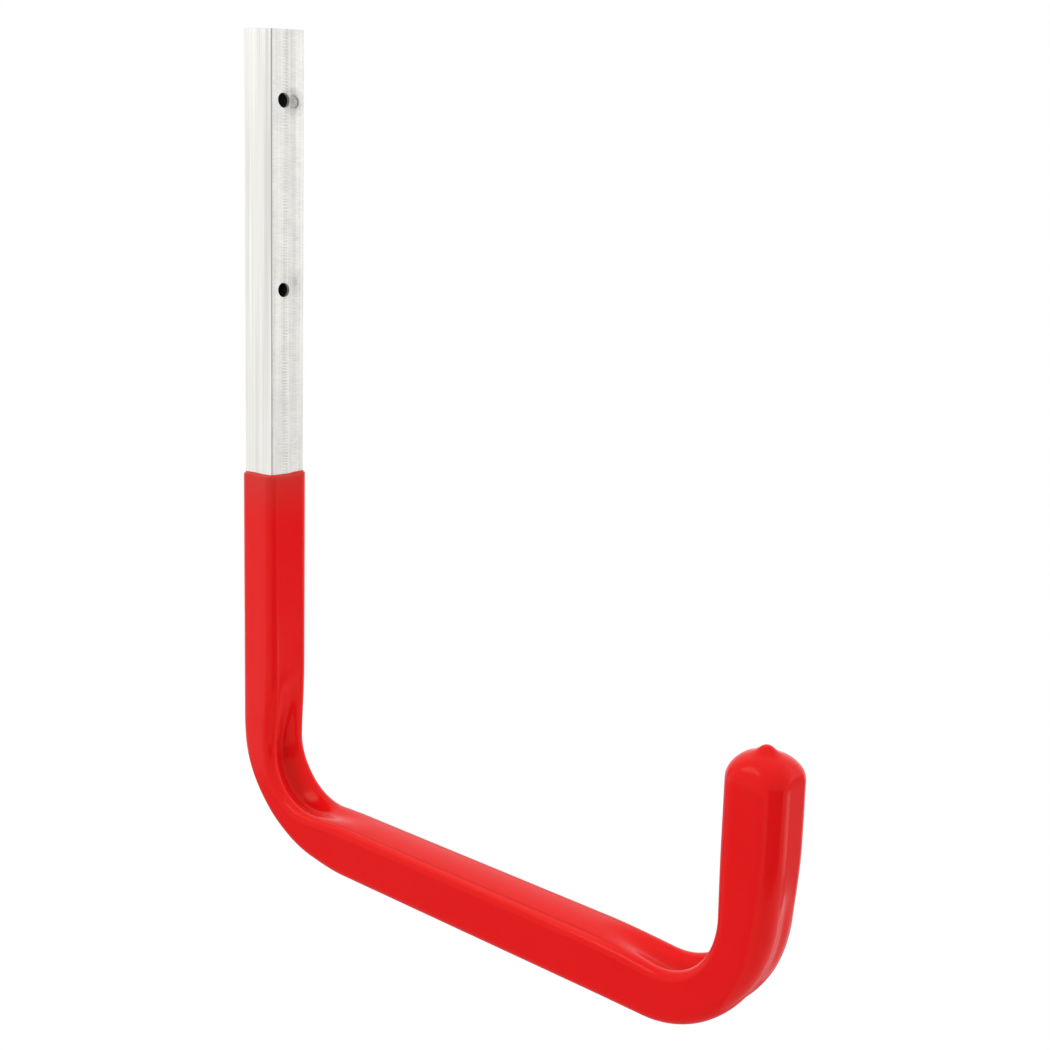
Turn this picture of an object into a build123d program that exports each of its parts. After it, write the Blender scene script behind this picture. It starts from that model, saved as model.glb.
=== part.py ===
import math
import os

from build123d import *

os.makedirs("parts", exist_ok=True)

# All sizes are in millimetres. X runs across the tube, the wall is on the +Y side, Z is up.
# The origin is midway between the two screw holes, on the back face of the bare leg.

# Square tube
SIDE = 20.0             # outside width and depth
WALL = 1.5              # wall thickness
CORNER_IN_R = 0.5       # inside radius of the four long corners

# Run of the hook, measured along the middle of the tube
LEG = 331.0             # straight leg, from its cut end to the first bend
ARM = 186.0             # straight arm between the two bends
TIP = 54.0              # straight tip, from the second bend to its cut end
BEND_R = 40.0           # middle radius of both bends
CUT_SKEW = 6.2          # the leg was cut off by this angle, in degrees, towards its front and its -X side

# How the bends deform the tube, since they are made with nothing inside it
LEG_LEAD = 27.0         # the pressed lips of the trough run out this far beyond each end of the first bend
TIP_LEAD = 31.0         # and this far beyond each end of the second
TROUGH_LEAD = 34.0      # the trough itself runs out this far in the first bend
TROUGH_UP = 6.0         # and lies this much nearer to the leg
WALL_LEAD = 14.5        # the flat outer wall runs out this far
LEG_TROUGH = 5.5        # depth of the trough in the inner wall of the first bend
TIP_TROUGH = 5.5        # the same in the second bend
LEG_PRESS = 3.0         # both lips of the trough are pressed in
TIP_PRESS = 3.0
LEG_PRESS_UP = 9.0      # in the first bend they are pressed in this much nearer to the leg
LEG_FLATTEN = 6.0       # the outer wall is drawn in
TIP_FLATTEN = 2.6
LEG_FLATTEN_ON = 5.0    # a little beyond the middle of each bend
TIP_FLATTEN_ON = 14.0
TIP_DISH = 1.0          # hollow in the outer wall of the second bend
LEG_BULGE = 1.2         # each side of the tube swells by this much in the first bend
TIP_BULGE = 0.5         # and by this much in the second

# Screw holes, straight through the front and the back wall
HOLE_D = 6.6            # clears a 6 mm screw
HOLE_TOP = 32.0         # from the cut end of the leg to the upper hole
HOLE_PITCH = 84.0       # between the two holes
HOLE_OFF = 2.8          # both holes sit this far from the middle plane of the tube

# Dipped skin, on the flat walls
BARE = 201.0            # length of the leg that stays bare
COAT = 1.5              # thickness on the leg
COAT_ARM = 1.7          # on the arm
COAT_END = 2.5          # and on the tip, which hung lowest when it set
COAT_POOL = 0.3         # the skin fills the troughs by this much more
ROUND = 4.6             # corner radius of the skin on the leg
ROUND_ARM = 5.0         # on the arm
ROUND_END = 8.0         # and on the tip
ROUND_LIP = 3.5         # on the lips of the troughs, where the skin stays thin
EDGE_T = 0.5            # thickness of the thin rim where the skin starts
EDGE_RUN = 1.2          # and how far below the rim it reaches its full thickness
DOME = 10.3             # height of the dome over the open end of the tube
DOME_BELOW = 2.5        # it starts this far below the end
DOME_TOP = 3.0          # half width of the nearly flat top of the dome
NIPPLE_R = 4.8          # the last drop, which set on top of the dome
NIPPLE_H = 2.6

STATIONS = 17           # cross-sections along each bend
DOME_STATIONS = 6       # cross-sections up the dome

CORNER_R = CORNER_IN_R + WALL
ARC = math.pi / 2 * BEND_R
LEG_Y = -SIDE / 2
LEG_TOP = HOLE_TOP + HOLE_PITCH / 2
BEND_Z = LEG_TOP - LEG
BEND_1_Y = LEG_Y - BEND_R
BEND_2_Y = BEND_1_Y - ARM
BEND_2_START = LEG + ARC + ARM
LENGTH = BEND_2_START + ARC + TIP


def ease(t):
    """Smooth step from 0 to 1."""
    t = min(max(t, 0.0), 1.0)
    return t * t * (3 - 2 * t)


def swell(d, lead, on=0.0):
    """0 outside a bend and 1 in its middle, moved on by a length, at the distance d from its start."""
    rise = lead + 0.45 * ARC
    d = d - on
    return min(ease((d + lead) / rise), ease((ARC + lead - d) / rise))


def place(s):
    """Plane across the tube at the distance s along it. Its y axis points to the inside of the hook."""
    if s < LEG + ARC + ARM / 2:
        d, y, turned = s - LEG, BEND_1_Y, 0.0
    else:
        d, y, turned = s - BEND_2_START, BEND_2_Y, 90.0
    on_arc = min(max(d, 0.0), ARC)
    a = math.radians(turned + math.degrees(on_arc / BEND_R))
    heading = (0, -math.sin(a), -math.cos(a))
    rest = d - on_arc
    origin = (
        HOLE_OFF,
        y + BEND_R * math.cos(a) + rest * heading[1],
        BEND_Z - BEND_R * math.sin(a) + rest * heading[2],
    )
    return Plane(origin=origin, x_dir=(1, 0, 0), z_dir=heading)


def between(s, leg, arm, tip):
    """A size that has these three values on the straight runs and changes evenly in the bends."""
    return leg + (arm - leg) * ease((s - LEG) / ARC) + (tip - arm) * ease((s - BEND_2_START) / ARC)


def skin(s):
    """Thickness of the skin on the walls, its corner radius and the radius of its lips at the distance s."""
    in_bend = swell(s - LEG, LEG_LEAD) + swell(s - BEND_2_START, TIP_LEAD)
    r = between(s, ROUND, ROUND_ARM, ROUND_END)
    return between(s, COAT, COAT_ARM, COAT_END), r, r + (ROUND_LIP - r) * in_bend


def outline(half, inner, outer, r, lip, trough=0.0, dish=0.0, straight=False):
    """Rounded square. The inner side sinks by the trough and the outer side by the dish."""
    waves = [(1.0, 0.0), (0.5, 0.5), (0.0, 1.0), (-0.5, 0.5), (-1.0, 0.0)]
    near = half - lip
    far = half - r
    with BuildLine() as edge:
        Line((half, r - outer), (half, inner - lip))
        CenterArc((near, inner - lip), lip, 0, 90)
        if straight:
            Line((near, inner), (-near, inner))
        else:
            Spline([(near * x, inner - trough * g) for x, g in waves], tangents=[(-1, 0), (-1, 0)])
        CenterArc((-near, inner - lip), lip, 90, 90)
        Line((-half, inner - lip), (-half, r - outer))
        CenterArc((-far, r - outer), r, 180, 90)
        if straight:
            Line((-far, -outer), (far, -outer))
        else:
            Spline([(-far * x, dish * g - outer) for x, g in waves], tangents=[(1, 0), (1, 0)])
        CenterArc((far, r - outer), r, 270, 90)
    make_face(edge.edges())


def plain(s, grow, r):
    """Cross-section of a straight run at s, grown outwards on all sides."""
    half = SIDE / 2 + grow
    with BuildSketch(place(s)) as section:
        outline(half=half, inner=half, outer=half, r=r, lip=r, straight=True)
    return section.sketch.face()


def cut_across(s, grow, r, lip, pool):
    """Cross-section of a bend at s, grown outwards on all sides. The pool fills the trough."""
    d1 = s - LEG
    d2 = s - BEND_2_START
    sides = LEG_BULGE * swell(d1, WALL_LEAD, LEG_FLATTEN_ON) + TIP_BULGE * swell(d2, TIP_LEAD)
    pressed = LEG_PRESS * swell(d1, LEG_LEAD, -LEG_PRESS_UP) + TIP_PRESS * swell(d2, TIP_LEAD)
    drawn = LEG_FLATTEN * swell(d1, WALL_LEAD, LEG_FLATTEN_ON) + TIP_FLATTEN * swell(d2, WALL_LEAD, TIP_FLATTEN_ON)
    with BuildSketch(place(s)) as section:
        outline(
            half=SIDE / 2 + grow + sides,
            inner=SIDE / 2 + grow - pressed,
            outer=SIDE / 2 + grow - drawn,
            r=r,
            lip=lip,
            trough=(LEG_TROUGH - pool) * swell(d1, TROUGH_LEAD, -TROUGH_UP) + (TIP_TROUGH - pool) * swell(d2, TIP_LEAD),
            dish=TIP_DISH * swell(d2, WALL_LEAD, TIP_FLATTEN_ON),
        )
    return section.sketch.face()


def run(start, end, layer, pool=0.0):
    """The outside of a layer from start to end: three straight runs and the two bends between them."""
    above = max(LEG_LEAD + LEG_PRESS_UP, TROUGH_LEAD + TROUGH_UP)
    beyond = max(LEG_LEAD - LEG_PRESS_UP, TROUGH_LEAD - TROUGH_UP, WALL_LEAD + LEG_FLATTEN_ON)
    first = (LEG - above, LEG + ARC + beyond)
    second = (BEND_2_START - TIP_LEAD, BEND_2_START + ARC + TIP_LEAD)
    for a, b in ((start, first[0]), (first[1], second[0]), (second[1], end)):
        grow, r, _ = layer(a)
        extrude(plain(a, grow, r), amount=b - a)
    for a, b in (first, second):
        stops = [a + (b - a) * k / (STATIONS - 1) for k in range(STATIONS)]
        loft([cut_across(s, *layer(s), pool) for s in stops])


# Tube: the bent outside, hollow from end to end, cut off a little askew and drilled
skew = math.tan(math.radians(CUT_SKEW))

with BuildPart() as body:
    run(-SIDE * skew, LENGTH, lambda s: (0.0, CORNER_R, CORNER_R))

with BuildPart() as hollow:
    run(-SIDE * skew, LENGTH, lambda s: (-WALL, CORNER_IN_R, CORNER_IN_R))

with BuildPart() as tube:
    add(body.part)
    add(hollow.part, mode=Mode.SUBTRACT)
    split(bisect_by=Plane(origin=(HOLE_OFF, LEG_Y, LEG_TOP), z_dir=(-skew, -skew, 1)), keep=Keep.BOTTOM)
    with BuildSketch(Plane.XZ.offset(-SIDE)):
        with Locations((0, HOLE_PITCH / 2), (0, -HOLE_PITCH / 2)):
            Circle(HOLE_D / 2)
    extrude(amount=3 * SIDE, mode=Mode.SUBTRACT)

tube.part.label = "square_tube"

# Skin: the outside of the tube grown by the thickness, closed by the dome, less the tube itself
with BuildPart() as coat:
    base = LENGTH - DOME_BELOW
    run(BARE + EDGE_RUN, base, skin, COAT_POOL)
    loft([plain(BARE, EDGE_T, CORNER_R + EDGE_T), plain(BARE + EDGE_RUN, COAT, ROUND)], ruled=True)
    full = SIDE / 2 + COAT_END
    for k in range(DOME_STATIONS):
        share = math.cos(math.pi / 2 * k / (DOME_STATIONS - 1))
        half = DOME_TOP + (full - DOME_TOP) * share
        r = half * (ROUND_END / full + (0.97 - ROUND_END / full) * (1 - share ** 4.5))
        with BuildSketch(place(base).offset(DOME * (1 - share ** 2.5) ** 0.4)):
            outline(half=half, inner=half, outer=half, r=r, lip=r)
    loft()
    with BuildSketch(Plane(origin=place(base).offset(DOME).origin, x_dir=(1, 0, 0), z_dir=(0, -1, 0))):
        with BuildLine():
            Line((0, -2), (0, NIPPLE_H))
            Spline(
                [(0, NIPPLE_H), (0.5 * NIPPLE_R, 0.55 * NIPPLE_H), (NIPPLE_R, -0.3 * NIPPLE_H)],
                tangents=[(1, 0), (1, -0.4)],
            )
            Line((NIPPLE_R, -0.3 * NIPPLE_H), (NIPPLE_R, -2))
            Line((NIPPLE_R, -2), (0, -2))
        make_face()
    revolve(axis=Axis(place(LENGTH).origin, (0, 0, 1)))
    add(body.part, mode=Mode.SUBTRACT)

coat.part.label = "dipped_coat"

export_step(tube.part, "parts/square_tube.step")
export_step(coat.part, "parts/dipped_coat.step")

for name in (tube, coat):
    print(name.part.label, "solids", len(name.part.solids()), "valid", name.part.is_valid, name.part.bounding_box())
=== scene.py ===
# %% [markdown]
# # A dipped wall hook, dressed in Blender
#
# A hook like this is one square steel tube, bent twice, and dipped tip first into liquid
# vinyl, which sets to a thick red skin. The bare end of the leg is screwed to a wall.
# The CAD model already holds both pieces at their real sizes, in metres. This lesson loads
# it as a fixed frame, works out the red skin again as a fine smooth surface, gives the bare
# steel its zinc finish, and lights the hook like a picture in a shop's catalogue.

# %% Load the frame
import math

import bmesh
import bpy
import numpy as np
from mathutils import Matrix, Vector


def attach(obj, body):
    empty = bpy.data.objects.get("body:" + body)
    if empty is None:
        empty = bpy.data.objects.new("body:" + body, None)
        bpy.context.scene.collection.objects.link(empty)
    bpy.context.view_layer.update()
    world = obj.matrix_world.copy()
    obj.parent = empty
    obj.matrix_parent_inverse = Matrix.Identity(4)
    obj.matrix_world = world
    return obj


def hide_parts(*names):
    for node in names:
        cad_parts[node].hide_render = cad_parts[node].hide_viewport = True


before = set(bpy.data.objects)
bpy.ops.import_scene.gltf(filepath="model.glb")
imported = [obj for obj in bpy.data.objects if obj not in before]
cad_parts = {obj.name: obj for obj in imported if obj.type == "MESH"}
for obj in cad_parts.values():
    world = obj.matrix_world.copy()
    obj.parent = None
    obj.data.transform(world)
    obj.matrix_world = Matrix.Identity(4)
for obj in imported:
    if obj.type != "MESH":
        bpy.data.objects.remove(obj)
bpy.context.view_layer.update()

# %% [markdown]
# ## The hook's sizes
#
# A skin that is dipped takes the shape of what is under it, so its surface follows the bent
# tube. Everything below is in millimetres, as a workshop drawing would have it, and is
# turned into metres only when a mesh is made. X runs across the tube, the wall is on the
# +Y side and Z is up. The origin is midway between the two screw holes, on the back of the
# bare leg.

# %% Sizes of the tube and its two bends
MM = 0.001

SIDE = 20.0             # outside width and depth of the square tube
CORNER = 2.0            # outside radius of its long corners
LEG = 331.0             # the three straight runs, along the middle of the tube
ARM = 186.0
TIP = 54.0
BEND_R = 40.0
LEG_TOP = 74.0          # height of the sawn end
MIDDLE_X = 2.8          # middle plane of the tube, since the holes are off its middle

ARC = math.pi / 2 * BEND_R
SECOND = LEG + ARC + ARM
LENGTH = SECOND + ARC + TIP

# %% Sizes of the skin
BARE = 201.0                 # the skin starts this far down the leg
COAT = (1.5, 1.7, 2.5)       # its thickness on the leg, the arm and the tip, which hung lowest
ROUND = (4.6, 5.0, 8.0)      # its corner radius on each of them
ROUND_TOP = (4.6, 3.8, 8.0)  # the same on the wall inside the hook, sharper where the arm drained
LIP = 3.5                    # and on the lips of the troughs, where the skin stays thin
TROUGH = 5.5                 # depth of the troughs in the tube
POOL = 0.3                   # depth of the vinyl that ran together in them
CROWN = 0.6                  # how much fuller the skin is in the middle of the arm's upper wall
RIM_DEEP = 1.0               # the rim rounds from the steel to full thickness in this length
DOME = 10.3                  # height of the dome over the open end
DOME_BELOW = 2.5             # it starts this far below the end
NIPPLE = 2.6                 # height of the last drop, on top of the dome
print("length of the tube", round(LENGTH, 1), "mm, of it in the skin", round(LENGTH - BARE, 1), "mm")

# %% [markdown]
# ## A path that can be asked for any distance
#
# The middle line of the tube is three straight runs and two quarter circles. A curve object
# with a bevel could carry a section along it, but the section here changes on its way, so
# the path is a function instead. It takes a whole array of distances and gives, for each,
# the point on the line and the direction to the inside of the hook.

# %% The path
def path(s):
    """Points on the middle line and the directions to the inside of the hook.

    Along a bend the turned angle is distance / radius. The point is the bend's centre plus
    radius * (cos, -sin) of that angle, and past the bend it goes on straight along the heading.
    """
    far = s > LEG + ARC + ARM / 2
    along = np.where(far, s - SECOND, s - LEG)
    on_arc = np.clip(along, 0, ARC)
    angle = np.where(far, math.pi / 2, 0.0) + on_arc / BEND_R
    centre_y = np.where(far, -SIDE / 2 - BEND_R - ARM, -SIDE / 2 - BEND_R)
    heading = np.stack([0 * s, -np.sin(angle), -np.cos(angle)], axis=-1)
    inside = np.stack([0 * s, -np.cos(angle), np.sin(angle)], axis=-1)
    centre = np.stack([0 * s + MIDDLE_X, centre_y, 0 * s + LEG_TOP - LEG], axis=-1)
    point = centre - BEND_R * inside + (along - on_arc)[:, None] * heading
    return point, inside


ends, _ = path(np.array([0.0, LENGTH]))
print("the middle line runs from", ends[0].round(1), "to", ends[1].round(1))

# %% [markdown]
# ## What bending does to a square tube
#
# This tube was bent with nothing inside it. Its inner wall had too much metal for the
# tighter curve and folded inwards to a long trough between two lips, its outer wall was
# drawn flat, and its sides swelled. Each of these starts before the bend, is strongest in
# it, and runs out after it. A smooth step that rises and falls gives all of them.

# %% The section along the path
WALL_STEPS = 48         # faces across the inner and the outer wall
SIDE_STEPS = 8          # up each side
CORNER_STEPS = 16       # and round each corner
PER_ROW = 2 * WALL_STEPS + 2 * SIDE_STEPS + 4 * CORNER_STEPS


def ease(t):
    """Smooth step from 0 to 1, as 3t^2 - 2t^3."""
    t = np.clip(t, 0, 1)
    return t * t * (3 - 2 * t)


def swell(along, lead, on=0.0):
    """0 away from a bend and 1 in its middle, for distances measured from the bend's start.

    It starts by the lead ahead of the bend and ends as far behind it. On shifts all of it down the path.
    """
    rise = lead + 0.45 * ARC
    return np.minimum(ease((along - on + lead) / rise), ease((ARC + lead - along + on) / rise))


def deformed(s):
    """What bending does to the section at these distances, in millimetres.

    In this order: how far the sides swell, the lips are pressed in and the outer wall is drawn in,
    and the depths of the trough in the inner wall and of the dish in the outer wall.
    """
    first, second = s - LEG, s - SECOND
    sides = 1.2 * swell(first, 14.5, 5) + 0.5 * swell(second, 31)
    pressed = 3.0 * swell(first, 27, -9) + 3.0 * swell(second, 31)
    drawn = 6.0 * swell(first, 14.5, 5) + 2.6 * swell(second, 14.5, 14)
    trough = TROUGH * (swell(first, 34, -6) + swell(second, 31))
    dish = 1.0 * swell(second, 14.5, 14)
    return sides, pressed, drawn, trough, dish


def between(s, values):
    """A size with these three values on the leg, the arm and the tip. It changes smoothly in the bends."""
    leg, arm, tip = values
    return leg + (arm - leg) * ease((s - LEG) / ARC) + (tip - arm) * ease((s - SECOND) / ARC)


def drained(s):
    """1 along the arm and 0 past its ends: there the skin gathered in the middle of the upper wall."""
    return ease((s - LEG - 0.55 * ARC) / 25) * ease((SECOND - s) / 30)


def outline(half, inner, outer, r, lip, trough=0.0, dish=0.0, crown=0.0):
    """Closed outlines, one a row, as arrays of the place across and towards the inside of the hook.

    Eight spans go round: four walls and four corner arcs. The trough is a raised cosine across the
    inner wall, depth * (1 + cos(pi w)) / 2 for w from 1 to -1, and so is the dish on the outer wall.
    The crown lifts the inner wall by crown * (1 - w^2).
    """
    near, far = half - lip, half - r
    w = np.linspace(1, -1, WALL_STEPS + 1)[None, :-1]
    v = np.linspace(0, 1, SIDE_STEPS + 1)[None, :-1]
    q = np.linspace(0, math.pi / 2, CORNER_STEPS + 1)[None, :-1]
    wave = (1 + np.cos(math.pi * w)) / 2
    spans = [
        (near * w, inner - trough * wave + crown * (1 - w * w)),
        (-near - lip * np.sin(q), inner - lip + lip * np.cos(q)),
        (-half + 0 * v, (inner - lip) * (1 - v) + (r - outer) * v),
        (-far - r * np.cos(q), r - outer - r * np.sin(q)),
        (-far * w, -outer + dish * wave),
        (far + r * np.sin(q), r - outer - r * np.cos(q)),
        (half + 0 * v, (r - outer) * (1 - v) + (inner - lip) * v),
        (near + lip * np.cos(q), inner - lip + lip * np.sin(q)),
    ]
    return tuple(np.concatenate([span[k] for span in spans], axis=1) for k in (0, 1))


def section(s, share=1.0, pool=0.0):
    """The outlines at these distances, from a share of 0, on the steel, to 1, the full skin.

    The pool is the depth of the vinyl that ran together in the floor of the troughs.
    """
    sides, pressed, drawn, trough, dish = [v[:, None] for v in deformed(s)]
    share = np.broadcast_to(share, s.shape)
    bent = swell(s - LEG, 27) + swell(s - SECOND, 31)
    grow = (share * between(s, COAT))[:, None]
    r, top = between(s, ROUND), between(s, ROUND_TOP)
    lip = (CORNER + share * (top + (LIP - top) * bent - CORNER))[:, None]
    r = (CORNER + share * (r - CORNER))[:, None]
    half = SIDE / 2 + grow
    trough = trough - pool * bent[:, None]
    # The skin is fullest in the middle of the arm's upper wall and leaves a crease at its edges
    crown = (CROWN * drained(s) * share)[:, None]
    return outline(half + sides, half - pressed, half - drawn, r, lip, trough, dish, crown)


def swept(s, across, inwards):
    """Carries the outlines along the path: point + across * X + inwards * the inside direction."""
    point, inside = path(s)
    out = point[:, None, :] + inwards[:, :, None] * inside[:, None, :]
    out[:, :, 0] += across
    return out


deepest = deformed(np.array([LEG + ARC / 2]))[3][0]
print("the trough in the first bend is", round(float(deepest), 1), "mm deep")

# %% [markdown]
# ## The red skin
#
# Liquid vinyl wets the steel, sets, and leaves three marks: a thin rounded rim where the
# dip stopped, an even glossy wall that rounds every edge by its own thickness, and a dome
# with a small nipple over the open end, where the last drop hung. In Blender one could
# thicken a copy of the tube with Solidify, but the rim and the dome would still be missing.
# Here the outside, the dome and the inside on the steel are rows of points, welded to a
# single closed shell.

# %% Rows of the skin
def stations(first, last, step):
    """Even distances from first to last, about a step apart."""
    return np.linspace(first, last, max(2, int(round(abs(last - first) / step)) + 1))


BODY = np.concatenate([
    stations(BARE + 2, LEG - 54, 4),
    stations(LEG - 50, LEG + ARC + 30, 0.9),
    stations(LEG + ARC + 33, SECOND - 34, 4),
    stations(SECOND - 31, SECOND + ARC + 30, 0.9),
    stations(SECOND + ARC + 31, LENGTH - DOME_BELOW, 1.5),
])
RIM = np.linspace(0, math.pi / 2, 7)[1:]        # angles of the rim's quarter round
RIM_S = BARE + RIM_DEEP * (1 - np.cos(RIM))
OUTSIDE_S = np.concatenate([RIM_S, BODY])
print("rows from the rim to the dome", len(OUTSIDE_S))


# %% The outside, with the waves of its rim
def rim_line(around):
    """How far the rim creeps up or down at each place round the leg, in millimetres.

    A few slow waves, because the bath wasn't quite still and the wet edge sagged between the corners.
    """
    slow = 0.35 * np.cos(around + 0.6) + 0.2 * np.sin(2 * around + 2.2)
    return -0.5 + slow + 0.1 * np.sin(5 * around)


def skin_grid():
    """The rows of the outside, from the rim to the foot of the dome.

    The waves of the rim fade out down the leg as exp(-depth / 5 mm).
    """
    rim = swept(RIM_S, *section(RIM_S, np.sin(RIM)))
    rows = np.concatenate([rim, swept(BODY, *section(BODY, 1.0, POOL))])
    x, y = rows[..., 0] - MIDDLE_X, rows[..., 1] + SIDE / 2
    fade = np.exp(-np.maximum(LEG_TOP - BARE - rows[..., 2], 0) / 5)
    rows[..., 2] += rim_line(np.arctan2(y, x)) * np.where(rows[..., 2] > LEG_TOP - LEG, fade, 0)
    return rows


outside = skin_grid()
print("rows outside", len(outside), "points a row", outside.shape[1])

# %% [markdown]
# The hook hung tip down while the vinyl set, so the tip ends in a dome with one drop in its
# middle. A hemisphere would be wrong for a square tube. The last outline of the tip shrinks
# to a point instead, and gets rounder on its way up.

# %% The dome
DOME_ROWS = 40


def dome_grid():
    """The last outline shrinks to a point while it rises.

    At the share m of the way out the height is DOME * (1 - m^2.5)^0.4, and the corner radius grows
    to that of a circle as 1 - m^4.5. The drop on top adds NIPPLE * exp(-(d / 3.5)^2.5) at the
    distance d from the middle.
    """
    m = np.cos(np.linspace(0, math.pi / 2, DOME_ROWS))[1:-1, None]
    full = SIDE / 2 + COAT[2]
    square = ROUND[2] / full
    half = full * m
    r = half * (square + (1 - square) * (1 - m ** 4.5))
    across, inwards = outline(half, half, half, r, r)
    rows = swept(np.full(len(m), LENGTH - DOME_BELOW), across, inwards)
    away = np.hypot(across, inwards)
    rows[..., 2] += DOME * (1 - m ** 2.5) ** 0.4 + NIPPLE * np.exp(-(away / 3.5) ** 2.5)
    top, _ = path(np.array([LENGTH - DOME_BELOW]))
    return rows, top + np.array([[0, 0, DOME + NIPPLE]])


dome, dome_top = dome_grid()
print("rows of the dome", len(dome), "its top", dome_top[0].round(1))

# %% [markdown]
# Some light and shade is painted into the colour of the vinyl: painted shade in the floor of
# each trough and in the crease on each side of the arm's upper wall, and a painted highlight
# on the lip beside it. Each point of the outside carries these as two numbers for the
# material to read. As attributes they stay with the surface, and no map has to be unwrapped
# for them.

# %% Painted shade in the troughs and creases, and a painted highlight on the lips
# Painted shade below 0 and a painted highlight above 0
CREASE_SHADING = (-0.4, -1, -1, -0.3, 0.5, 1, 1, 0.9, 0.7, 0.4, 0.2)    # from the wall, over the crease, to the lip


def trough_shade_share():
    """The share of painted shade: 0 outside the troughs and 1 in their deepest part.

    It is the trough's depth along the path, times the raised cosine across the inner wall.
    """
    depth = deformed(OUTSIDE_S)[3] / TROUGH
    w = np.linspace(1, -1, WALL_STEPS + 1)[:-1]
    share = np.zeros((len(OUTSIDE_S), PER_ROW))
    share[:, :WALL_STEPS] = depth[:, None] * (1 + np.cos(math.pi * w)) / 2
    return share


def crease_shading_share():
    """-1 for painted shade in the crease on each side of the arm's upper wall, and up to 1 for a painted
    highlight on the lip beside it.
    """
    along = drained(OUTSIDE_S)
    share = np.zeros((len(OUTSIDE_S), PER_ROW))
    for k, value in enumerate(CREASE_SHADING):
        column = WALL_STEPS - 2 + k
        mirrored = (WALL_STEPS - column) % PER_ROW
        share[:, column] = share[:, mirrored] = value * along
    return share


shares = {"trough_shade": trough_shade_share(), "crease_shading": crease_shading_share()}
print("attributes", {name: (round(v.min(), 2), round(v.max(), 2)) for name, v in shares.items()})

# %% [markdown]
# The inside of the skin lies on the steel, and only its uppermost row ever shows, as the
# foot of the rim. It is the same section with nothing added, in longer steps, and a flat
# sheet of vinyl closes it over the end of the tube.

# %% Inside rows
inner_s = np.concatenate([
    stations(LENGTH, SECOND + ARC + 30, 12),
    stations(SECOND + ARC + 27, SECOND - 31, 3),
    stations(SECOND - 34, LEG + ARC + 30, 20),
    stations(LEG + ARC + 27, LEG - 50, 3),
    stations(LEG - 53, BARE + 2, 20),
])
inside = swept(inner_s, *section(inner_s, 0.0))
foot = swept(np.array([BARE]), *section(np.array([BARE]), 0.0))
foot[..., 2] += outside[0][None, :, 2] - outside[0, :, 2].mean()
print("rows inside", len(inside))


# %% Meshes from rows
def mesh_from_rows(name, rows, pole, capped, turned):
    """A mesh from rows of points, each row closed round and joined to the next.

    The pole is a point that closes the capped row with a fan, whose faces may be turned.
    """
    n = rows.shape[1]
    points = np.concatenate([rows.reshape(-1, 3), np.reshape(pole, (1, 3))])
    a = np.arange(len(rows) - 1)[:, None]
    k = np.arange(n)[None, :]
    b, j = a + 1, (k + 1) % n
    quads = np.stack([a * n + k, a * n + j, b * n + j, b * n + k], axis=-1).reshape(-1, 4)
    ring = capped * n + np.arange(n)
    fan = np.stack([ring, np.roll(ring, -1), np.full(n, len(points) - 1)], axis=-1)
    faces = quads.tolist() + (fan[:, ::-1] if turned else fan).tolist()
    mesh = bpy.data.meshes.new(name)
    mesh.from_pydata((points * MM).tolist(), [], faces)
    mesh.update()
    mesh.shade_smooth()
    obj = bpy.data.objects.new(name, mesh)
    bpy.context.collection.objects.link(obj)
    return obj


def signed_volume(obj):
    """Sum of the tetrahedra from the origin to each triangle: positive where faces point outwards."""
    mesh = obj.data
    mesh.calc_loop_triangles()
    tri = np.empty(len(mesh.loop_triangles) * 3, dtype=np.int32)
    mesh.loop_triangles.foreach_get("vertices", tri)
    co = np.empty(len(mesh.vertices) * 3)
    mesh.vertices.foreach_get("co", co)
    p = co.reshape(-1, 3)[tri.reshape(-1, 3)]
    return float(np.einsum("ij,ij->i", p[:, 0], np.cross(p[:, 1], p[:, 2])).sum() / 6)


# %% Outside and inside, welded to one closed shell
WELD = 1e-6             # metres, within which the two rows at the foot of the rim become one

outer_rows = np.concatenate([foot, outside, dome])
skin = mesh_from_rows("red_skin_outside", outer_rows, dome_top, len(outer_rows) - 1, False)
for name, values in shares.items():
    share = np.zeros(len(skin.data.vertices))
    # The first row is the foot, and stays 0
    share[PER_ROW:][:values.size] = values.ravel()
    skin.data.attributes.new(name, "FLOAT", "POINT").data.foreach_set("value", share)
inner_rows = np.concatenate([inside, foot])
lining = mesh_from_rows("red_skin_inside", inner_rows, inside[0].mean(axis=0), 0, True)

whole = bmesh.new()
whole.from_mesh(skin.data)
whole.from_mesh(lining.data)
bmesh.ops.remove_doubles(whole, verts=whole.verts, dist=WELD)
open_edges = sum(1 for e in whole.edges if len(e.link_faces) != 2)
whole.to_mesh(skin.data)
whole.free()
bpy.data.objects.remove(lining)
if signed_volume(skin) < 0:
    skin.data.flip_normals()
skin.name = skin.data.name = "red_skin"
skin.data.shade_smooth()
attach(skin, "root")
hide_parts("dipped_coat")
print("skin triangles", len(skin.data.loop_triangles), "open edges", open_edges)
print("volume of the vinyl", round(signed_volume(skin) * 1e6, 1), "cm3")

# %% [markdown]
# ## Helpers for node materials
#
# A material is a small graph of nodes. These helpers add one node at a time and join the
# sockets that are given by name, so that each recipe below reads from top to bottom.

# %% Node helpers
def new_material(name):
    """A material with only a Principled shader and its output."""
    material = bpy.data.materials.new(name)
    material.use_nodes = True
    tree = material.node_tree
    tree.nodes.clear()
    shader = tree.nodes.new("ShaderNodeBsdfPrincipled")
    out = tree.nodes.new("ShaderNodeOutputMaterial")
    tree.links.new(shader.outputs["BSDF"], out.inputs["Surface"])
    return material, tree, shader


def node(tree, kind, inputs=None, **settings):
    """Adds a node. Its inputs are set, or joined where the value is another node's output."""
    made = tree.nodes.new(kind)
    for key, value in settings.items():
        setattr(made, key, value)
    for key, value in (inputs or {}).items():
        socket = made.inputs[key]
        if isinstance(value, bpy.types.NodeSocket):
            tree.links.new(value, socket)
        else:
            socket.default_value = value
    return made


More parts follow.
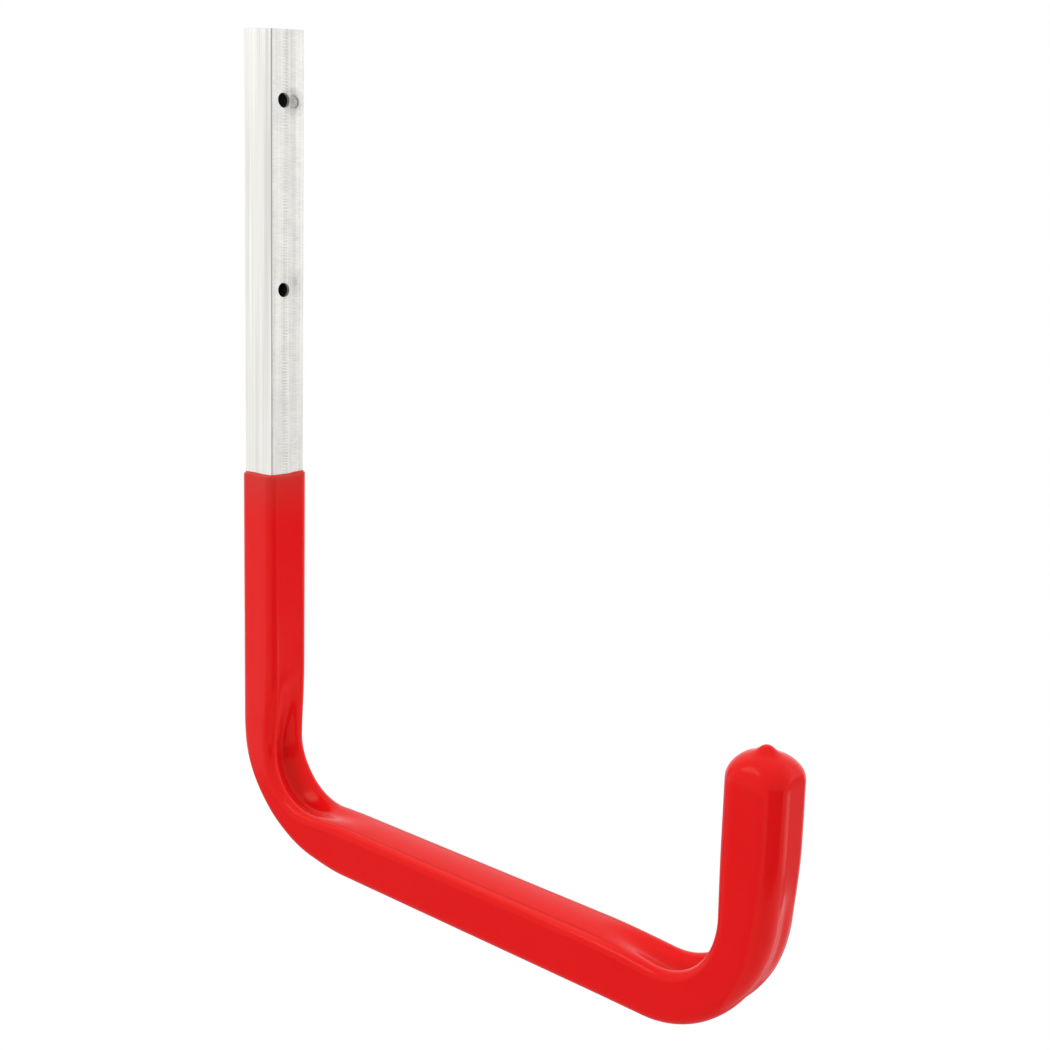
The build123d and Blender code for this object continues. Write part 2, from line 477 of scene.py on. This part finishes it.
def maths(tree, operation, a, b=0.0, c=0.0, clamp=False):
    """One Math node, and its output."""
    made = node(tree, "ShaderNodeMath", {0: a, 1: b, 2: c}, operation=operation, use_clamp=clamp)
    return made.outputs[0]


def noise(tree, place, scale, detail, roughness):
    """A noise texture's value."""
    inputs = {"Vector": place, "Scale": scale, "Detail": detail, "Roughness": roughness}
    return node(tree, "ShaderNodeTexNoise", inputs).outputs["Fac"]


def spread(tree, value, low, high, to_low=0.0, to_high=1.0):
    """Maps a value from low..high to to_low..to_high, and no further."""
    inputs = {"Value": value, "From Min": low, "From Max": high, "To Min": to_low, "To Max": to_high}
    return node(tree, "ShaderNodeMapRange", inputs, clamp=True).outputs["Result"]


def stretched(tree, place, scale, shift=(0, 0, 0)):
    """The coordinates, stretched and shifted by a Mapping node."""
    inputs = {"Vector": place, "Scale": scale, "Location": shift}
    return node(tree, "ShaderNodeMapping", inputs).outputs["Vector"]


def blend(tree, factor, a, b):
    """Two colours mixed by a factor."""
    mix = tree.nodes.new("ShaderNodeMix")
    mix.data_type = "RGBA"
    for socket, value in ((mix.inputs[0], factor), (mix.inputs[6], a), (mix.inputs[7], b)):
        if isinstance(value, bpy.types.NodeSocket):
            tree.links.new(value, socket)
        else:
            socket.default_value = value
    return mix.outputs[2]


# %% [markdown]
# ## Soft red vinyl
#
# The skin is plasticised vinyl: glossy, a strong orange-red, and smooth except for the long
# shallow waves of a liquid that set while it ran. Gloss comes from the shader alone. Two
# scales of noise in the bump give the waves and the finest orange peel. The colour drifts by
# a few percent, as pigment does in a dipping bath, and takes painted shade and a painted
# highlight from the two attributes above.
# Under the rim, where the skin is thin, the grey steel takes some of the colour out of it.

# %% Vinyl
RED_LOW = (0.84, 0.0070, 0.0088, 1)
RED_HIGH = (0.88, 0.0080, 0.0098, 1)
RED_TROUGH_SHADE = (0.68, 0.0035, 0.0040, 1)
RED_CREASE_SHADE = (0.64, 0.0030, 0.0035, 1)
RED_LIP_HIGHLIGHT = (0.93, 0.027, 0.022, 1)
RED_THIN = (0.70, 0.032, 0.028, 1)

vinyl, tree, shader = new_material("dipped_vinyl")
shader.inputs["IOR"].default_value = 1.5
shader.inputs["Specular IOR Level"].default_value = 0.14
shader.inputs["Specular Tint"].default_value = (1.0, 0.92, 0.66, 1)
place = node(tree, "ShaderNodeTexCoord").outputs["Object"]
height = node(tree, "ShaderNodeSeparateXYZ", {0: place}).outputs[2]
trough_shade = node(tree, "ShaderNodeAttribute", attribute_name="trough_shade").outputs["Fac"]
crease_shading = node(tree, "ShaderNodeAttribute", attribute_name="crease_shading").outputs["Fac"]

red = blend(tree, noise(tree, place, 18, 3, 0.6), RED_LOW, RED_HIGH)
# Painted shade in the floor of the troughs
red = blend(tree, spread(tree, trough_shade, 0.25, 0.9), red, RED_TROUGH_SHADE)
# Painted shade in the creases beside the arm's upper wall, and a painted highlight on the lips
red = blend(tree, spread(tree, crease_shading, 0.0, -1.0, 0.0, 0.85), red, RED_CREASE_SHADE)
red = blend(tree, spread(tree, crease_shading, 0.0, 1.0, 0.0, 0.9), red, RED_LIP_HIGHLIGHT)
thin = maths(tree, "POWER", spread(tree, height, -0.152, -0.128), 1.6)
tree.links.new(blend(tree, thin, red, RED_THIN), shader.inputs["Base Color"])
gloss = spread(tree, noise(tree, place, 60, 3, 0.6), 0.3, 0.7, 0.11, 0.17)
tree.links.new(gloss, shader.inputs["Roughness"])
waves = noise(tree, place, 55, 2, 0.4)
peel = noise(tree, place, 420, 3, 0.5)
relief = maths(tree, "MULTIPLY_ADD", peel, 0.12, waves)
bump = node(tree, "ShaderNodeBump", {"Height": relief, "Strength": 0.12, "Distance": 0.001})
tree.links.new(bump.outputs["Normal"], shader.inputs["Normal"])
skin.data.materials.clear()
skin.data.materials.append(vinyl)
print("nodes in the vinyl", len(tree.nodes))

# %% [markdown]
# ## Zinc on cold-rolled steel
#
# The tube is strip that was galvanised, rolled square and welded along one wall. Its marks
# are fine streaks along the tube from the rollers, two ladders of chatter where a tool shaved
# the weld, a grey bloom over the front, and a dull patch beside each hole. Painted light is
# added to them: a dark line down the near corner, as a painted reflection of the dark room, a
# ring of painted shade beside each hole, strongest on its right, the front wall painted
# lighter than the sides, and the steel painted lighter towards the bottom of the leg.
# All of them are read from the object's own coordinates, and each is one number, mostly
# between 0 and 1, until the last step mixes them to a tone.

# %% Where things are on the tube
steel, tree, shader = new_material("zinc_steel")
place = node(tree, "ShaderNodeTexCoord").outputs["Object"]
axes = node(tree, "ShaderNodeSeparateXYZ", {0: place})
x, y, z = [axes.outputs[k] for k in range(3)]
# 1 on the front wall, whose face is at Y = -20 mm
front = spread(tree, y, -0.0193, -0.0197)


def band(centre, half, soft=0.0006):
    """1 in a band up the front wall, for X within half of the centre."""
    off = maths(tree, "ABSOLUTE", maths(tree, "SUBTRACT", x, centre))
    return maths(tree, "MULTIPLY", front, spread(tree, off, half, half - soft))


def ladder(centre, half, pitch, shift):
    """Chatter marks: a wobbling sine up a band, which comes and goes."""
    wobble = noise(tree, stretched(tree, place, (500, 500, 240), (shift, 0, 0)), 1.0, 2, 0.5)
    wave = maths(tree, "MULTIPLY_ADD", z, 2 * math.pi / pitch, maths(tree, "MULTIPLY", wobble, 9.0))
    slow = noise(tree, stretched(tree, place, (0, 0, 70), (0, shift, 0)), 1.0, 2, 0.6)
    marks = maths(tree, "MULTIPLY", maths(tree, "SINE", wave), band(centre, half))
    return maths(tree, "MULTIPLY", marks, spread(tree, slow, 0.38, 0.6))


def length_2d(a, b):
    """The square root of a^2 + b^2."""
    squares = maths(tree, "ADD", maths(tree, "POWER", a, 2.0), maths(tree, "POWER", b, 2.0))
    return maths(tree, "SQRT", squares)


def shaded_ring_and_patch(centre_x, centre_z, radius):
    """A ring and a dull patch on the front wall beside a hole, by the distance from its centre.

    The ring is painted shade, strongest on its right.
    """
    across, up = maths(tree, "SUBTRACT", x, centre_x), maths(tree, "SUBTRACT", z, centre_z)
    away = length_2d(across, up)
    off = maths(tree, "ABSOLUTE", maths(tree, "SUBTRACT", away, radius * 0.85))
    right = spread(tree, across, -0.0005, 0.0024, 0.1, 1.0)
    ring = maths(tree, "MULTIPLY", spread(tree, off, radius * 0.36, 0.0), right)
    patch = spread(tree, away, 0.0075, 0.001)
    return maths(tree, "MULTIPLY", ring, front), maths(tree, "MULTIPLY", patch, front)


# %% Marks on the steel
streaks = noise(tree, stretched(tree, place, (900, 900, 9)), 1.0, 3, 0.6)
broad = noise(tree, stretched(tree, place, (260, 260, 4), (3, 1, 0)), 1.0, 2, 0.5)
far_ladder = ladder(0.0068, 0.0016, 0.0011, 4.0)
rungs = maths(tree, "MULTIPLY_ADD", far_ladder, 0.6, ladder(0.0007, 0.0017, 0.00135, 0.0))
ripples = noise(tree, stretched(tree, place, (260, 260, 1500)), 1.0, 3, 0.6)
ripples = maths(tree, "MULTIPLY", ripples, front)
bloom = maths(tree, "MULTIPLY", spread(tree, noise(tree, place, 120, 4, 0.65), 0.4, 0.72), front)
# Rings of painted shade beside the holes, strongest on their right, and dull patches
upper_shaded_ring, upper_dull = shaded_ring_and_patch(0.0057, 0.0419, 0.0029)
lower_shaded_ring, lower_dull = shaded_ring_and_patch(0.0052, -0.0385, 0.0026)
dull = maths(tree, "MAXIMUM", upper_dull, maths(tree, "MULTIPLY", lower_dull, 0.3))
smudge = maths(tree, "MULTIPLY", dull, noise(tree, place, 700, 3, 0.7))
# A strip of the near side, beside the corner, made a little darker
darker_strip = maths(tree, "MULTIPLY", spread(tree, x, -0.0070, -0.0071), spread(tree, y, -0.011, -0.0125))
# The near corner is where X - Y is 12.8 mm
corner = maths(tree, "SUBTRACT", maths(tree, "SUBTRACT", x, y), 0.0128)
# Painted reflection of the dark room round the camera: a dark line down the near corner
painted_corner_line = spread(tree, maths(tree, "ABSOLUTE", corner), 0.0006, 0.0001)
painted_corner_line = maths(tree, "MULTIPLY", painted_corner_line, spread(tree, x, -0.004, -0.005))
print("nodes for the marks", len(tree.nodes))

# %% Tone of the steel
GREY = (0.36, 0.358, 0.345, 1)
ZINC = (0.97, 0.962, 0.925, 1)
RING_SHADE = (0.10, 0.10, 0.10, 1)

along = spread(tree, streaks, 0.3, 0.7, 0.69, 0.98)
tone = maths(tree, "ADD", along, spread(tree, broad, 0.35, 0.65, -0.17, 0.06))
# Painted light: the steel is darker at the top of the leg and lighter towards the bottom
tone = maths(tree, "ADD", tone, spread(tree, z, 0.07, -0.125, -0.03, 0.05))
tone = maths(tree, "ADD", tone, spread(tree, ripples, 0.25, 0.75, 0.06, -0.14))
for mark, weight in (
    # The front wall is painted lighter than the sides, as painted light
    (front, 0.14),
    (darker_strip, -0.1),
    (painted_corner_line, -0.95),
    (rungs, 0.19),
    (bloom, -0.14),
    (lower_shaded_ring, -0.2),
    (smudge, -1.3),
):
    tone = maths(tree, "MULTIPLY_ADD", mark, weight, tone)
bright = blend(tree, spread(tree, tone, 0.0, 1.0), GREY, ZINC)
# The ring beside the upper hole is painted shade, almost black
bright = blend(tree, maths(tree, "MULTIPLY", upper_shaded_ring, 0.95), bright, RING_SHADE)

# %% [markdown]
# Zinc doesn't reach everywhere. The holes were drilled later, so their edges are raw. The
# inside of the tube is dull, and painted almost black as painted shade. A metal shader would
# still mirror the white room in there, so both parts are made almost matt.

# %% The bore and the drilled edges
BORE_HALF = (0.0088, 0.0086)    # the mask of the bore fades out between these distances
HOLE_UP = 0.042                 # height of the holes above and below the origin
HOLE_WALL = (0.00345, 0.00338)  # just outside the radius of the holes
# The inside of the tube is painted almost black, as painted shade
BORE_SHADE = (0.07, 0.07, 0.073, 1)
DRILLED = (0.50, 0.50, 0.49, 1)

across = maths(tree, "ABSOLUTE", maths(tree, "SUBTRACT", x, MIDDLE_X * MM))
deep = maths(tree, "ABSOLUTE", maths(tree, "ADD", y, SIDE / 2 * MM))
hollow = maths(tree, "MULTIPLY", spread(tree, across, *BORE_HALF), spread(tree, deep, *BORE_HALF))
up = maths(tree, "SUBTRACT", maths(tree, "ABSOLUTE", z), HOLE_UP)
near_hole = spread(tree, length_2d(x, up), *HOLE_WALL)
drilled = maths(tree, "MULTIPLY", near_hole, spread(tree, y, -0.01985, -0.0197))
raw = maths(tree, "MAXIMUM", hollow, drilled)
matt = maths(tree, "MULTIPLY", raw, 0.9)
inner = blend(tree, drilled, BORE_SHADE, DRILLED)
tree.links.new(blend(tree, raw, bright, inner), shader.inputs["Base Color"])
tree.links.new(maths(tree, "SUBTRACT", 1.0, matt), shader.inputs["Metallic"])

# %% Roughness and relief of the steel
cloud = spread(tree, noise(tree, place, 45, 4, 0.6), 0.3, 0.7, 0.38, 0.48)
tree.links.new(maths(tree, "MULTIPLY_ADD", raw, 0.2, cloud), shader.inputs["Roughness"])
relief = maths(tree, "MULTIPLY", streaks, 0.5)
for mark, weight in ((rungs, 0.5), (ripples, 0.8), (upper_shaded_ring, -0.8)):
    relief = maths(tree, "MULTIPLY_ADD", mark, weight, relief)
bump = node(tree, "ShaderNodeBump", {"Height": relief, "Strength": 0.3, "Distance": 0.0004})
tree.links.new(bump.outputs["Normal"], shader.inputs["Normal"])
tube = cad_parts["square_tube"]
for slot in tube.material_slots:
    slot.material = steel
print("nodes in the steel", len(tree.nodes), "slots on the tube", len(tube.material_slots))

# %% [markdown]
# ## Floor, backdrop and light
#
# The picture is a product shot: white all round, with soft light from the left, from above
# and from the right. The floor lies well below the hook, which is held free, so its shadow
# is faint. The camera, and mirror-like rays, see the background as white, while the light
# that it throws stays at a plain level, so that the red renders about as it is written.

# %% Floor and backdrop
def seen_as_background(tree):
    """1 for rays from the camera and for mirror-like rays, 0 for the light on a surface."""
    rays = node(tree, "ShaderNodeLightPath").outputs
    mirrored = maths(tree, "MAXIMUM", rays["Is Glossy Ray"], rays["Is Transmission Ray"])
    return maths(tree, "MAXIMUM", rays["Is Camera Ray"], mirrored)


bpy.ops.mesh.primitive_plane_add(size=8, location=(0, 0, -0.55))
floor = bpy.context.object
floor.name = "floor"
pale, tree, shader = new_material("pale_floor")
shader.inputs["Base Color"].default_value = (0.85, 0.85, 0.85, 1)
shader.inputs["Roughness"].default_value = 0.9
glow = node(tree, "ShaderNodeEmission", {"Color": (1, 1, 1, 1), "Strength": 1.02}).outputs[0]
# A little of the floor's own shading stays, and with it the shadow
seen = maths(tree, "MULTIPLY", seen_as_background(tree), 0.95)
both = node(tree, "ShaderNodeMixShader", {0: seen, 1: shader.outputs[0], 2: glow})
output = next(n for n in tree.nodes if n.type == "OUTPUT_MATERIAL")
tree.links.new(both.outputs[0], output.inputs["Surface"])
floor.data.materials.append(pale)

# %% The white room
world = bpy.data.worlds.new("studio")
bpy.context.scene.world = world
world.use_nodes = True
tree = world.node_tree
tree.nodes.clear()
white = node(tree, "ShaderNodeBackground", {"Color": (1, 1, 1, 1), "Strength": 1.0}).outputs[0]
soft = node(tree, "ShaderNodeBackground", {"Color": (1, 1, 1, 1), "Strength": 0.70}).outputs[0]
mixed = node(tree, "ShaderNodeMixShader", {0: seen_as_background(tree), 1: soft, 2: white})
node(tree, "ShaderNodeOutputWorld", {"Surface": mixed.outputs[0]})
print("nodes in the world", len(tree.nodes))

# %% [markdown]
# Three large and weak softboxes stand round the hook. They light the matt part of a surface
# only. In reflections the white room takes their place, because a box that shows as a hard
# bright patch would burn out on the pale zinc.

# %% Lamps
def lamp(name, place, aim, size, power, tall=None):
    """An area lamp at a place in metres, turned towards the aim, with its sides and its power in watts."""
    data = bpy.data.lights.new(name, "AREA")
    data.shape = "RECTANGLE"
    data.size, data.size_y = size, tall or size
    data.energy = power
    obj = bpy.data.objects.new(name, data)
    bpy.context.collection.objects.link(obj)
    obj.location = place
    obj.rotation_euler = (Vector(aim) - Vector(place)).to_track_quat("-Z", "Y").to_euler()
    obj.visible_camera = obj.visible_glossy = False


MIDDLE = (0.0, -0.14, -0.12)
lamp("left_softbox", (-0.9, 0.6, 0.45), MIDDLE, 1.1, 4.6, 1.3)
lamp("top_softbox", (0.1, -0.1, 1.4), MIDDLE, 1.2, 4.6)
lamp("right_softbox", (1.05, -1.0, 0.3), MIDDLE, 1.0, 4.2, 1.4)

# %% [markdown]
# Glossy vinyl shows whatever stands around it. A white room alone would make every wall of
# the hook look milky, so dark cards stand beside the camera, to the right of it and under the
# hook, as they do in a real studio. Two bright ones put the highlights on the dome and along
# the tip. Only mirror-like rays meet the cards: they take no light from the hook, cast no
# shadow and aren't seen.

# %% Cards that only reflections see
def card(name, place, aim, size, tone):
    """A plane of one even brightness, turned towards the aim and seen in reflections alone."""
    bpy.ops.mesh.primitive_plane_add(size=1, location=place)
    obj = bpy.context.object
    obj.name = name
    obj.scale = (*size, 1)
    obj.rotation_euler = (Vector(aim) - Vector(place)).to_track_quat("Z", "Y").to_euler()
    material = bpy.data.materials.new(name)
    material.use_nodes = True
    tree = material.node_tree
    tree.nodes.clear()
    glow = node(tree, "ShaderNodeEmission", {"Color": (tone, tone, tone, 1), "Strength": 1.0}).outputs[0]
    node(tree, "ShaderNodeOutputMaterial", {"Surface": glow})
    obj.data.materials.append(material)
    obj.visible_camera = obj.visible_shadow = obj.visible_diffuse = False


card("camera_card", (-0.28, -0.70, -0.39), (0, -0.2, -0.39), (0.72, 0.31), 0.02)
card("right_card", (0.58, -0.72, -0.35), (0, -0.02, -0.35), (0.42, 0.26), 0.3)
card("low_card", (0.50, -0.50, -0.46), (0, -0.288, -0.23), (0.26, 0.2), 0.3)
card("low_light", (0.40, -0.72, -0.475), (0, -0.288, -0.25), (0.32, 0.13), 1.9)
card("under_card", (0, 0.15, -0.54), (0, 0.15, 0.0), (1.6, 0.9), 0.35)
card("high_light", (-0.42, 0.07, 0.375), (0, -0.276, -0.2), (0.34, 0.34), 3.5)

# %% [markdown]
# ## The camera
#
# The picture was taken from the front left, a little above the middle of the hook. The eye
# was a little over half a metre away, and the lens was shifted by a few percent, as when a
# picture is cropped off-centre.

# %% Camera
EYE = Vector((-392.9, -484.22, -31.02)) * MM
RIGHT = Vector((0.651536, -0.758182, 0.025695))
DOWN = Vector((-0.102652, -0.121672, -0.987248))
FOCUS_PX = 1300.52      # focal length, in pixels of a picture 1050 wide
MIDDLE_PX = (494.37, 478.11)

data = bpy.data.cameras.new("camera")
data.sensor_width = 36
data.lens = FOCUS_PX / 1050 * 36
data.shift_x = (525 - MIDDLE_PX[0]) / 1050
data.shift_y = (MIDDLE_PX[1] - 525) / 1050
data.clip_start = 0.01
camera = bpy.data.objects.new("camera", data)
bpy.context.collection.objects.link(camera)
back = RIGHT.cross(-DOWN).normalized()
turn = Matrix((RIGHT, -DOWN, back)).transposed().to_4x4()
camera.matrix_world = Matrix.Translation(EYE) @ turn
bpy.context.scene.camera = camera
print("lens", round(data.lens, 2), "mm, distance to the hook", round((EYE - Vector(MIDDLE)).length, 3), "m")

# %% Picture settings
bpy.context.scene.view_settings.view_transform = "Standard"
